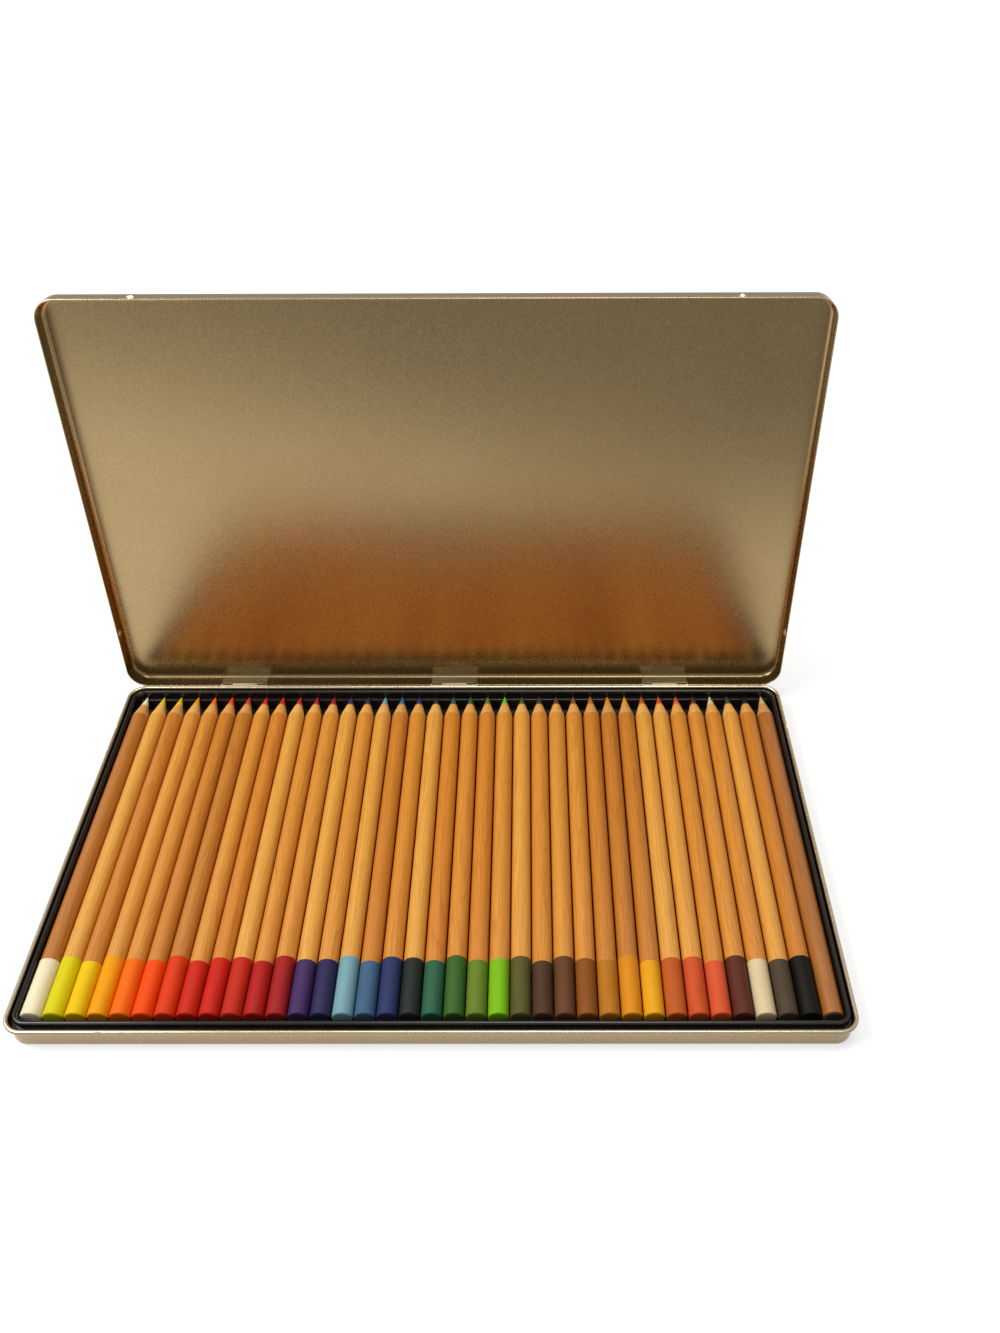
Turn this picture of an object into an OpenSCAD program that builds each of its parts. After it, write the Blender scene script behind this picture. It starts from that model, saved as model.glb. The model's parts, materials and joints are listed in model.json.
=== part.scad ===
// Hinged tinplate box holding thirty-seven round coloured pencils in a moulded tray.
// X runs across the pencils, Y from the front to the hinges, Z up. The origin is the
// centre of the base's underside. The lid is drawn open, resting on its stop.
// The pencils set the size of the tray, the tray sets the base, and the base the lid.

/* [Pencils] */
// Number of pencils
pencil_count = 37; // [34:1:37]
// Diameter of a barrel
pencil_d = 7.8; // [7:0.1:8.4]
// Gap between neighbouring barrels
pencil_gap = 0.48; // [0.35:0.01:1]
// Length of a pencil
pencil_l = 174; // [160:0.5:185]
// Diameter of the coloured core
core_d = 3.9; // [2.5:0.1:4.2]
// Length of the sharpened cone
cone_l = 14.3; // [12:0.1:17]
// Radius of the worn point
point_r = 0.25; // [0.15:0.05:0.4]
// Mean length of the coloured dip
dip_l = 23.8; // [15:0.1:28]
// How far the dip's length varies from pencil to pencil
dip_vary = 1.2; // [0:0.1:2]
// Thickness of the dipped coat round the barrel
dip_t = 0.06; // [0.05:0.01:0.1]
// Thickness of the coat over the pencil's end
dip_end_t = 0.5; // [0.5:0.05:0.8]
// Edge radius of the dipped end
dip_edge_r = 0.6; // [0.3:0.05:0.6]

/* [Tray] */
// Thickness of the moulded plastic
tray_t = 0.7; // [0.5:0.05:0.8]
// Gap under the tray
tray_lift = 0.3; // [0.25:0.05:0.5]
// Gap between the tray and the base wall
tray_gap = 0.4; // [0.3:0.05:0.7]
// Gap between a barrel and the groove under it
seat_gap = 0.3; // [0.25:0.05:0.4]
// Height of the grooves' lowest line over the tray's floor
groove_up = 1.25; // [1:0.05:2]
// Height of the cross ribs over the grooves' lowest line
rib_rise = 3; // [1.5:0.1:3.2]
// Width of a narrow cross rib
rib_w = 2.5; // [2:0.1:4]
// Width of the wide cross rib
wide_rib_w = 6; // [4:0.1:8]
// Gap beside the first and last barrel
side_gap = 0.38; // [0.36:0.01:1]
// Gap between the points and the rear of the well
tip_gap = 0.35; // [0.3:0.05:0.8]
// Gap between the dipped ends and the front of the well
butt_gap = 2.3; // [2.2:0.1:4]
// Distance of the two narrow rear ribs from the rear of the well
rear_ribs = [14, 42];
// Distance of the wide rib from the rear of the well
wide_rib = 31.5; // [24:0.5:36]
// How far the middle rib lies behind the middle of the well
mid_rib = 8; // [0:0.5:20]
// Distance of the two front ribs from the front of the well
front_ribs = [11, 22];
// Depth of the ledge under the points
ledge_d = 1.2; // [0.8:0.1:3.5]
// Length of the slope from the ledge down to the tray's floor
ledge_run = 1.6; // [0.8:0.1:9]
// Width of the bead round the well
bead_w = 2; // [1.8:0.1:2.6]
// Height of the bead over the pencils' axes
bead_up = 3.5; // [2.8:0.1:4]
// Width of the gutter in front of the bead
gutter_w = 1.85; // [1:0.05:3]
// How far the gutter lies under the top of the bead
gutter_drop = 2.6; // [1.5:0.1:3.5]
// Height of the tray's outer skirt
skirt_h = 6; // [4:0.1:6.5]

/* [Base tin] */
// Thickness of the tinplate sheet
sheet = 0.35; // [0.25:0.05:0.45]
// Height of the rim's top over the barrels
rim_over = 0.3; // [0:0.05:1]
// Radius of the rolled rim
rim_r = 0.9; // [0.6:0.05:1.1]
// Outer corner radius of the base wall, seen from above
corner_r = 6.5; // [5:0.1:6.6]
// Outer radius between the floor and the wall
bottom_r = 1.5; // [0.8:0.1:2]

/* [Lid] */
// Gap between the rolled rim and the lid wall
lid_gap = 0.85; // [0.7:0.05:1.2]
// Inside depth of the lid
lid_depth = 7.6; // [7:0.1:12]
// How far the closed lid reaches down past the top of the rim
lid_lap = 3.1; // [2.6:0.1:3.6]
// Outer radius between the lid's panel and its wall
lid_round = 2.1; // [1.5:0.1:3]
// Height of the folded hem along the lid's free edge
hem_h = 1.1; // [0.7:0.1:1.5]
// Extra thickness of the folded hem
hem_t = 0.2; // [0.1:0.05:0.3]
// Angle through which the lid opens
lid_open = 95.6; // [90:0.2:96]

/* [Snap dimples] */
// How far a dimple stands in from the lid wall
dimple_in = 1.2; // [0.8:0.1:1.4]
// Radius of a dimple where it leaves the wall
dimple_r = 2.1; // [1.6:0.1:2.2]
// Height of a dimple's centre over the lid's free edge
dimple_up = 2.4; // [2.2:0.1:3]
// Distance of the front dimples from the base's side walls
dimple_side = 36; // [20:1:60]
// Distance of the side dimples from the base's rear wall
dimple_back = 27; // [20:1:60]
// Clearance round a dimple in the rim's relief notch
dimple_gap = 0.35; // [0.3:0.05:0.5]

/* [Hinges] */
// Distance between neighbouring hinges
hinge_pitch = 103; // [60:1:110]
// Width of one hinge
hinge_w = 22; // [18:0.5:28]
// Width of each base knuckle
base_knuckle_w = 5; // [4:0.5:6]
// Diameter of the hinge wire
wire_d = 1; // [0.8:0.05:1.1]
// Radial clearance between the wire and the lid knuckle
wire_fit = 0.05; // [0.03:0.01:0.1]
// Gap between neighbouring knuckles, and round them in the lid wall
knuckle_gap = 0.3; // [0.25:0.05:0.4]
// Height of the hinge axis over the closed lid's free edge
axis_up = 0.5; // [0.3:0.05:0.7]
// Gap between a leaf's end and the bend of the sheet it lies on
leaf_gap = 0.1; // [0.05:0.05:0.5]
// Length of the tail under the open lid's rear wall, which stops the lid
stop_l = 1.1; // [0.6:0.1:1.6]

/* [Hidden] */
$fn = 48;
// How far joined solids reach into each other
bite = 0.1;
// Hairline clearance between fitted pieces of one body
hair = 0.01;
// How far a cutting shape runs past what it cuts
past = 1;

// Heights, from the underside up
well_floor = sheet + tray_lift + tray_t;
groove_z = well_floor + groove_up;
groove_r = pencil_d / 2 + seat_gap;
pencil_z = groove_z + groove_r;
rib_top = groove_z + rib_rise;
tray_top = pencil_z + bead_up;
gutter_z = tray_top - gutter_drop;
base_h = pencil_z + pencil_d / 2 + rim_over;
roll_z = base_h - rim_r;

// Pencils, across and along
barrel_r = pencil_d / 2;
core_r = core_d / 2;
pencil_pitch = pencil_d + pencil_gap;
last_pencil = pencil_count - 1;
row_w = last_pencil * pencil_pitch + pencil_d;
cone_slope = (barrel_r - point_r) / cone_l;
bore_r = core_r + hair;
bare_core_l = (core_r - point_r) / cone_slope;
bare_bore_l = (bore_r - point_r) / cone_slope;

// Faces of the well, the tray's outer skirt and the base wall
well_x = row_w / 2 + side_gap;
skirt_x = well_x + bead_w;
wall_x = skirt_x + tray_gap + sheet;
well_l = butt_gap + pencil_l + tip_gap;
skirt_l = well_l + 2 * bead_w;
wall_y = (skirt_l + gutter_w) / 2 + tray_gap + sheet;
skirt_rear = wall_y - sheet - tray_gap;
skirt_mid = skirt_rear - skirt_l / 2;
well_rear = skirt_rear - bead_w;
tip_y = well_rear - tip_gap;
butt_y = tip_y - pencil_l;
tray_r = corner_r - sheet - tray_gap;

// A swept section reaches in over the floor, or the lid's panel, by these lengths
floor_strip = corner_r - bite;
tray_strip = tray_r - bite;

// The lid, closed
roll_out = 2 * rim_r - sheet;
lid_off = roll_out + lid_gap + sheet;
lid_x = wall_x + lid_off;
lid_y = wall_y + lid_off;
lid_r = corner_r + lid_off;
lid_strip = lid_r - bite;
lid_edge = base_h - lid_lap;
lid_top = lid_edge + lid_depth + sheet;
hem_r = (sheet + hem_t) / 2;
lid_bend_z = lid_top - lid_round;

// Each dimple is part of a ball that lies partly outside the lid wall
dimple_ball = (pow(dimple_r, 2) + pow(dimple_in, 2)) / (2 * dimple_in);
dimple_sink = dimple_ball - dimple_in;
dimple_z = lid_edge + dimple_up;
dimple_x = wall_x - dimple_side;
dimple_y = wall_y - dimple_back;

// Hinge axis, just behind the lid's rear wall
lid_bore = wire_d / 2 + wire_fit;
base_bore = wire_d / 2 + hair;
knuckle_r = lid_bore + sheet;
axis_y = lid_y - sheet + knuckle_r;
axis_z = lid_edge + axis_up;
slot_top = axis_z + knuckle_r + knuckle_gap;
lid_knuckle_w = hinge_w - 2 * (base_knuckle_w + knuckle_gap);
// The base leaf's straps lean out at 45 degrees and meet their knuckles at this radius
strap_r = (knuckle_r + base_bore) / 2;
leaf_top = axis_z - strap_r * sqrt(2) - (axis_y - wall_y);

// Cross ribs: place of the middle, and width
ribs = concat(
    [for (d = rear_ribs) [well_rear - d, rib_w]],
    [[well_rear - wide_rib, wide_rib_w], [well_rear - well_l / 2 + mid_rib, rib_w]],
    [for (d = front_ribs) [well_rear - well_l + d, rib_w]]
);
ledge_z = pencil_z - point_r - cone_slope * (ledge_d - tip_gap) - seat_gap;

pencil_names = [
    "white", "lemon", "canary", "deep_yellow", "light_orange", "bright_orange",
    "vermilion", "scarlet", "light_red", "rose_red", "carmine", "crimson",
    "violet", "blue_violet", "sky_blue", "mid_blue", "deep_blue", "night_green",
    "viridian", "leaf_green", "moss_green", "apple_green", "olive", "dark_brown",
    "umber", "raw_umber", "ochre", "gold_ochre", "golden_yellow", "terracotta",
    "brick", "salmon", "maroon", "silver_grey", "dark_grey", "black", "colourless",
];
pencil_tones = [
    "ivory", "yellowgreen", "gold", "orange", "darkorange", "orangered",
    "tomato", "firebrick", "red", "indianred", "crimson", "darkred",
    "indigo", "midnightblue", "skyblue", "steelblue", "navy", "darkslategray",
    "teal", "green", "forestgreen", "limegreen", "darkolivegreen", "maroon",
    "saddlebrown", "sienna", "darkgoldenrod", "goldenrod", "gold", "chocolate",
    "brown", "salmon", "maroon", "lightgray", "dimgray", "black", "dimgray",
];
bare_pencil = 36;
// Degrees that spread the dips' lengths without a pattern
dip_turn = 137;
sides = ["_left", "_centre", "_right"];

function two_digits(n) = n < 10 ? str("0", n) : str(n);
function pencil_node(i) = str("pencil_", two_digits(i + 1), "_", pencil_names[i]);

// Length of one pencil's dip, which differs a little from its neighbours'
function dip_length(i) = dip_l + dip_vary * sin(dip_turn * i);

// Carries a flat section round a rectangle with round corners. The section's first
// axis points outwards from the path, and its second one up.
module sweep_round(half_w, half_d, r) {
    for (turn = [0, 180]) rotate([0, 0, turn]) {
        translate([half_w, half_d - r, 0])
            rotate([90, 0, 0]) linear_extrude(2 * (half_d - r)) children();
        rotate([0, 0, 90]) translate([half_d, half_w - r, 0])
            rotate([90, 0, 0]) linear_extrude(2 * (half_w - r)) children();
        translate([half_w - r, half_d - r, 0])
            rotate_extrude(angle = 90) translate([r, 0]) children();
        translate([r - half_w, half_d - r, 0])
            rotate([0, 0, 90]) rotate_extrude(angle = 90) translate([r, 0]) children();
    }
}

// A flat plate that closes the middle of a swept shell
module middle_plate(half_w, half_d, strip, z, t) {
    reach = bite - strip;
    translate([0, 0, z + t / 2]) cube([2 * (half_w + reach), 2 * (half_d + reach), t], center = true);
}

// Places its children at the centres of the four snap dimples' balls
module at_dimples(z) {
    for (side = [-1, 1]) {
        translate([side * (lid_x - sheet + dimple_sink), dimple_y, z]) children();
        translate([side * dimple_x, sheet - lid_y - dimple_sink, z]) children();
    }
}

// Turns what is drawn on the closed lid to its open place
module opened() {
    translate([0, axis_y, axis_z]) rotate([-lid_open, 0, 0])
        translate([0, -axis_y, -axis_z]) children();
}

// A sheet bent through a right angle, from level to upright, in the corner that the
// two axes make.
module bend(r) {
    translate([-r, r]) intersection() {
        difference() {
            circle(r);
            circle(r - sheet);
        }
        translate([0, -r]) square(r);
    }
}

// Floor, wall and rolled rim of the base, measured outwards from the wall's outer face
module base_section() {
    translate([-floor_strip, 0]) square([floor_strip - bottom_r, sheet]);
    bend(bottom_r);
    translate([-sheet, bottom_r]) square([sheet, roll_z - bottom_r]);
    translate([rim_r - sheet, roll_z]) circle(rim_r);
}

module base_tin() {
    color("silver") difference() {
        union() {
            sweep_round(wall_x, wall_y, corner_r) base_section();
            middle_plate(wall_x, wall_y, floor_strip, 0, sheet);
        }
        at_dimples(roll_z - rim_r - past)
            cylinder(r = dimple_ball + dimple_gap, h = 2 * (rim_r + past));
    }
}

// Panel, wall and hem of the closed lid, measured outwards from the wall's outer face
module lid_section() {
    translate([-lid_strip, lid_top - sheet]) square([lid_strip - lid_round, sheet]);
    translate([0, lid_top]) mirror([0, 1]) bend(lid_round);
    translate([-sheet, lid_edge + hem_r]) square([sheet, lid_bend_z - lid_edge - hem_r]);
    translate([-2 * hem_r, lid_edge + hem_r]) square([2 * hem_r, hem_h - 2 * hem_r]);
    for (z = [hem_r, hem_h - hem_r]) translate([-hem_r, lid_edge + z]) circle(hem_r);
}

module lid_tin() {
    slot_w = hinge_w + 2 * knuckle_gap;
    color("silver") opened() difference() {
        union() {
            sweep_round(lid_x, lid_y, lid_r) lid_section();
            middle_plate(lid_x, lid_y, lid_strip, lid_top - sheet, sheet);
            intersection() {
                at_dimples(dimple_z) sphere(dimple_ball);
                translate([0, 0, dimple_z])
                    cube([2 * lid_x - sheet, 2 * lid_y - sheet, 2 * dimple_r], center = true);
            }
        }
        at_dimples(dimple_z) sphere(dimple_ball - sheet);
        for (k = [-1:1]) translate([k * hinge_pitch - slot_w / 2, lid_y - past, lid_edge - past])
            cube([slot_w, 2 * past, slot_top - lid_edge + past]);
    }
}

// Strap from a lid leaf, out through the slot, to the side of its knuckle
module lid_strap_section() {
    inner = lid_y - 2 * sheet;
    outer = lid_y - sheet;
    knuckle_side = outer + bite / 2;
    strap_t = sheet - bite;
    polygon([
        [inner, slot_top + bite], [outer, slot_top + bite], [outer, slot_top],
        [knuckle_side + strap_t, slot_top - sheet], [knuckle_side + strap_t, axis_z],
        [knuckle_side, axis_z], [knuckle_side, slot_top - 2 * sheet], [inner, slot_top - sheet],
    ]);
}

// A knuckle's round outline on the hinge axis
module axis_rod(r, w) {
    translate([-w / 2, axis_y, axis_z]) rotate([0, 90, 0]) cylinder(r = r, h = w);
}

// Stands a section drawn in the Y and Z plane upright, and gives it a width along X
module across(w) {
    translate([-w / 2, 0, 0]) rotate([90, 0, 90]) linear_extrude(w) children();
}

module lid_hinge_leaf(k) {
    color("gainsboro") opened() translate([k * hinge_pitch, 0, 0]) {
        difference() {
            union() {
                across(lid_knuckle_w) lid_strap_section();
                axis_rod(knuckle_r, lid_knuckle_w);
            }
            axis_rod(lid_bore, lid_knuckle_w + past);
        }
        across(hinge_w) translate([lid_y - 2 * sheet, slot_top])
            square([sheet, lid_bend_z - leaf_gap - slot_top]);
    }
}

// Strap that leans out from the base's wall and passes under one of its knuckles
module base_strap_section() {
    under = (strap_r + sheet / 2) * sqrt(0.5);
    over = (strap_r - sheet / 2) * sqrt(0.5);
    polygon([
        [wall_y, leaf_top - bite], [wall_y + sheet, leaf_top - bite], [wall_y + sheet, leaf_top],
        [axis_y + under, axis_z - under], [axis_y + over, axis_z - over],
        [wall_y, leaf_top + sheet],
    ]);
}

// The tail lies along the open lid's rear wall, so it is drawn in the lid's place
module stop_tail() {
    tail_z = axis_z + base_bore + bite;
    opened() translate([-base_knuckle_w / 2, lid_y + knuckle_gap, tail_z])
        cube([base_knuckle_w, sheet, slot_top + stop_l - tail_z]);
}

module base_hinge_leaf(k) {
    color("gainsboro") translate([k * hinge_pitch, 0, 0]) {
        for (side = [-1, 1]) translate([side * (hinge_w - base_knuckle_w) / 2, 0, 0]) {
            difference() {
                union() {
                    across(base_knuckle_w) base_strap_section();
                    axis_rod(knuckle_r, base_knuckle_w);
                }
                axis_rod(base_bore, base_knuckle_w + past);
            }
            stop_tail();
        }
        across(hinge_w) translate([wall_y, bottom_r + leaf_gap])
            square([sheet, leaf_top - bottom_r - leaf_gap]);
    }
}

module hinge_wire(k) {
    color("dimgray") translate([k * hinge_pitch, 0, 0]) axis_rod(wire_d / 2, hinge_w);
}

// Skirt, round bead, well wall and floor of the tray, measured outwards from the skirt
module tray_section() {
    bead_r = bead_w / 2;
    bead_z = tray_top - bead_r;
    translate([-bead_r, bead_z]) intersection() {
        difference() {
            circle(bead_r);
            circle(bead_r - tray_t);
        }
        translate([-bead_r, 0]) square([bead_w, bead_r]);
    }
    translate([-tray_t, tray_top - skirt_h]) square([tray_t, skirt_h - bead_r]);
    translate([-bead_w, well_floor - tray_t]) square([tray_t, bead_z - well_floor + tray_t]);
    translate([-tray_strip, well_floor - tray_t]) square([tray_strip - bead_w + tray_t, tray_t]);
}

// Front end of the outline inside the base wall, moved back by a distance
module lip_outline(back) {
    lip_x = wall_x - sheet - tray_gap;
    lip_front = sheet + tray_gap - wall_y + back;
    translate([tray_r - lip_x, lip_front]) square([2 * (lip_x - tray_r), tray_r + bead_w]);
    for (side = [-1, 1]) translate([side * (lip_x - tray_r), lip_front + tray_r]) circle(tray_r);
}

// Flat lip that fills the gutter between the bead and the front wall of the base
module gutter_lip() {
    translate([0, 0, gutter_z - tray_t]) linear_extrude(tray_t) difference() {
        lip_outline(0);
        lip_outline(gutter_w + bite);
    }
}

module pencil_grooves() {
    rear = well_rear - min(rear_ribs) + rib_w;
    front = well_rear - well_l + min(front_ribs) - rib_w;
    for (i = [0:last_pencil]) translate([(i - last_pencil / 2) * pencil_pitch, rear, pencil_z])
        rotate([90, 0, 0]) cylinder(r = groove_r, h = rear - front);
}

// Cross rib from wall to wall, hollow underneath as a moulding is
module cross_rib(w) {
    half_l = well_x + bite;
    translate([-half_l, -w / 2, well_floor - bite]) cube([2 * half_l, w, rib_top - well_floor + bite]);
}

module rib_hollow(w) {
    hollow_w = w - 2 * tray_t;
    translate([-well_x, -hollow_w / 2, sheet]) cube([2 * well_x, hollow_w, groove_z - tray_t - sheet]);
}

// Ledge under the points, with the slope in front of it
module point_ledge() {
    ledge_front = well_rear - ledge_d;
    foot = ledge_front - ledge_run;
    across(2 * (well_x + bite)) polygon([
        [foot, well_floor - bite], [foot, well_floor], [ledge_front, ledge_z],
        [well_rear + bite, ledge_z], [well_rear + bite, well_floor - bite],
    ]);
}

module pencil_tray() {
    color("black") {
        difference() {
            union() {
                translate([0, skirt_mid, 0]) {
                    sweep_round(skirt_x, skirt_l / 2, tray_r) tray_section();
                    middle_plate(skirt_x, skirt_l / 2, tray_strip, well_floor - tray_t, tray_t);
                }
                for (rib = ribs) translate([0, rib[0], 0]) cross_rib(rib[1]);
            }
            pencil_grooves();
            for (rib = ribs) translate([0, rib[0], 0]) rib_hollow(rib[1]);
        }
        point_ledge();
        gutter_lip();
    }
}

// Sharpened wooden case with its bore, from the end over the dip's cap to the bare core
module pencil_case() {
    rotate_extrude() polygon([
        [bore_r, dip_end_t], [barrel_r, dip_end_t], [barrel_r, pencil_l - cone_l],
        [bore_r, pencil_l - bare_bore_l],
    ]);
}

module pencil_core() {
    rotate_extrude() polygon([
        [0, dip_end_t], [core_r, dip_end_t], [core_r, pencil_l - bare_core_l],
        [point_r, pencil_l], [0, pencil_l],
    ]);
}

// Coat over the end of the barrel, with a softly rounded edge. The colourless pencil
// has bare wood round its painted end.
module pencil_dip(i) {
    coat_r = barrel_r + dip_t;
    coat_in = barrel_r + hair;
    cap_t = dip_end_t - hair;
    if (i == bare_pencil) cylinder(r = barrel_r - dip_edge_r, h = cap_t);
    else rotate_extrude() difference() {
        union() {
            square([coat_r - dip_edge_r, dip_edge_r + bite]);
            translate([0, dip_edge_r]) square([coat_r, dip_length(i) - dip_edge_r]);
            translate([coat_r - dip_edge_r, dip_edge_r]) circle(dip_edge_r);
        }
        translate([0, cap_t]) square([coat_in, dip_length(i)]);
    }
}

module pencil(i) {
    translate([(i - last_pencil / 2) * pencil_pitch, butt_y, pencil_z]) rotate([-90, 0, 0]) {
        color("burlywood") pencil_case();
        color(pencil_tones[i]) pencil_core();
        color(pencil_tones[i]) pencil_dip(i);
    }
}

base_tin();
lid_tin();
pencil_tray();
for (k = [-1:1]) {
    base_hinge_leaf(k);
    lid_hinge_leaf(k);
    hinge_wire(k);
}
for (i = [0:last_pencil]) pencil(i);
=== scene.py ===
import json
import math
from collections import namedtuple

import bmesh
import bpy
from mathutils import Matrix, Vector


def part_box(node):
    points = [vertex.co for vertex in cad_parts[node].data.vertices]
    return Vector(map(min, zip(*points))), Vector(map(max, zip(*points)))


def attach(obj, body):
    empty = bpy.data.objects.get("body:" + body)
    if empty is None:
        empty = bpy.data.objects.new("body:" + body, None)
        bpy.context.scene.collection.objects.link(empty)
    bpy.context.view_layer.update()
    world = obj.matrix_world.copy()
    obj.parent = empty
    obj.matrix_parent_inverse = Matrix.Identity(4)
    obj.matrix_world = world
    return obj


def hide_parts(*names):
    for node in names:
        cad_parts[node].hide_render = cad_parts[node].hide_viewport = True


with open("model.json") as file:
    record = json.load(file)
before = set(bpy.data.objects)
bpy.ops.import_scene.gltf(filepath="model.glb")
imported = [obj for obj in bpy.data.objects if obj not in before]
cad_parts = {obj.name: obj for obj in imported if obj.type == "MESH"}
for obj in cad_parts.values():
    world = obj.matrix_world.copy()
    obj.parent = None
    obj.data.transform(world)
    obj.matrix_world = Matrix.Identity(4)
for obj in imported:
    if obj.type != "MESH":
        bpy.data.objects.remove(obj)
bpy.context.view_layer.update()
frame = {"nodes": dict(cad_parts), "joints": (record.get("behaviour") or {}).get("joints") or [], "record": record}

mm = 0.001

# Driving sizes of the tin. A margin is the flat strip between a bend and the plate inside it
sheet = 0.35 * mm
roll_r = 0.9 * mm
wall_corner_r = 6.5 * mm
floor_bend_r = 1.5 * mm
floor_margin = 1 * mm
lid_bend_r = 2.1 * mm
lid_margin = 2 * mm
lid_gap = 0.85 * mm
lid_depth = 7.6 * mm
hem_height = 1.1 * mm
hem_flap = 0.2 * mm
hem_edge_r = 0.1 * mm
hem_step = 0.02 * mm
dimple_depth = 1.2 * mm
dimple_reach = 2.1 * mm
dimple_up = 2.4 * mm
dimple_side = 36 * mm
dimple_back = 27 * mm
dimple_gap = 0.35 * mm
notch_reach = 1.9 * mm
dimple_rows = 17
dimple_columns = 17
notch_columns = 13
hinge_pitch = 103 * mm
axis_rise = 0.5 * mm
slot_w = 22.6 * mm
slot_rise = 1.7 * mm
slot_end = 0.002 * mm

# Driving sizes of the tray. Where two shapes of the moulding meet, one sinks into the other
tray_t = 0.7 * mm
tray_gap = 0.4 * mm
tray_lift = 0.3 * mm
tray_margin = 1.2 * mm
skirt_height = 6 * mm
skirt_edge = 0.15 * mm
bead_w = 2 * mm
gutter_w = 1.85 * mm
gutter_drop = 2.6 * mm
groove_gap = 0.3 * mm
rib_rise = 3 * mm
rib_edge = 0.25 * mm
rib_w = 2.5 * mm
wide_rib = 6 * mm
rear_ribs = (14 * mm, 42 * mm)
wide_rib_back = 31.5 * mm
middle_rib_ahead = 8 * mm
front_ribs = (11 * mm, 22 * mm)
tip_gap = 0.35 * mm
butt_gap = 2.3 * mm
ledge_depth = 1.2 * mm
ledge_run = 1.6 * mm
ledge_edge_r = 0.5 * mm
well_fillet = 0.5 * mm
sink = 0.1 * mm

# Driving sizes of a pencil
barrel_r = 3.9 * mm
core_r = 1.95 * mm
point_r = 0.25 * mm
cone_length = 14.3 * mm
mean_dip = 23.8 * mm
dip_spread = 1.2 * mm
dip_turn = 137
coat_t = 0.06 * mm
end_coat = 0.49 * mm
end_edge = 0.6 * mm
bare_edge = 0.12 * mm
pencil_sides = 48

# Light and camera. The floor's reflection fades in front of the tin, and its glow near the tin
sky_light = 0.3
sky_gloss = 0.55
floor_reach = 6.0
fade_from, fade_to, faded = 0.15, 0.40, 0.3
glow_from, glow_to, least_glow = 0.4, 1.6, 0.62
lamp_tint = (1.0, 0.985, 0.96)
lamps = {
    "side_lamp": {"place": (-0.9, -0.08, 1.2), "size": (0.9, 0.7), "power": 16},
    "top_lamp": {"place": (0.1, 0.1, 1.5), "size": (0.7, 0.5), "power": 8},
}
camera_place = (0.03609, -0.30887, 0.38063)
camera_lens = 30.29
camera_shift = (-0.0179, 0.0013)
look_down = math.radians(41.74)
heading = math.radians(0.284)
camera_roll = math.radians(-0.289)

# Sizes and places that come from the frame
base_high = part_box("base_tin")[1]
tray_low, tray_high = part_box("pencil_tray")
roll_out = 2 * roll_r - sheet
wall_x = base_high.x - roll_out
wall_y = base_high.y - roll_out
roll_z = base_high.z - roll_r
slot_of = {part["node"]: part["material_slot"] for part in frame["record"]["subparts"]}
lid_joint = next(joint for joint in frame["joints"] if joint["name"] == "lid_hinge")
hinge_place = Vector(lid_joint["pos_m"])
lid_angle = math.radians(lid_joint["range_deg"][0])
pencil_nodes = sorted(
    node for node in frame["nodes"] if node.startswith("pencil_") and node != "pencil_tray")
pencil_boxes = [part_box(node) for node in pencil_nodes]
pencil_xs = [(low.x + high.x) / 2 for low, high in pencil_boxes]
pencil_pitch = (pencil_xs[-1] - pencil_xs[0]) / (len(pencil_xs) - 1)
butt_y = pencil_boxes[0][0].y
pencil_length = pencil_boxes[0][1].y - butt_y
lid_edge_z = hinge_place.z - axis_rise
lid_off = roll_out + lid_gap + sheet
lid_swing = Matrix.Rotation(lid_angle, 4, "X")
opened_lid = Matrix.Translation(hinge_place) @ lid_swing @ Matrix.Translation(-hinge_place)
well_x = tray_high.x - bead_w
well_rear = tray_high.y - bead_w
well_l = butt_gap + pencil_length + tip_gap
tray_r = wall_corner_r - sheet - tray_gap
floor_top = sheet + tray_lift + tray_t
axis_z = (pencil_boxes[0][0].z + pencil_boxes[0][1].z) / 2
groove_r = barrel_r + groove_gap

# The snap dimples' places along the lid's walls, and the balls that they are parts of
dimple_centres = [
    ("right", wall_y - dimple_back),
    ("left", wall_y - dimple_back),
    ("front", wall_x - dimple_side),
    ("front", dimple_side - wall_x),
]
ball_r = (dimple_reach ** 2 + dimple_depth ** 2) / (2 * dimple_depth)
notch_r = ball_r + dimple_gap
notch_centre = lid_off - sheet + ball_r - dimple_depth


def tone(red, green, blue):
    """A colour as it shows on a screen, turned to the linear one that the shaders take."""
    def linear(value):
        value /= 255
        return value / 12.92 if value <= 0.04045 else ((value + 0.055) / 1.055) ** 2.4
    return (linear(red), linear(green), linear(blue), 1)


black = (0.0, 0.0, 0.0, 1)
white = (1.0, 1.0, 1.0, 1)

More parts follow.
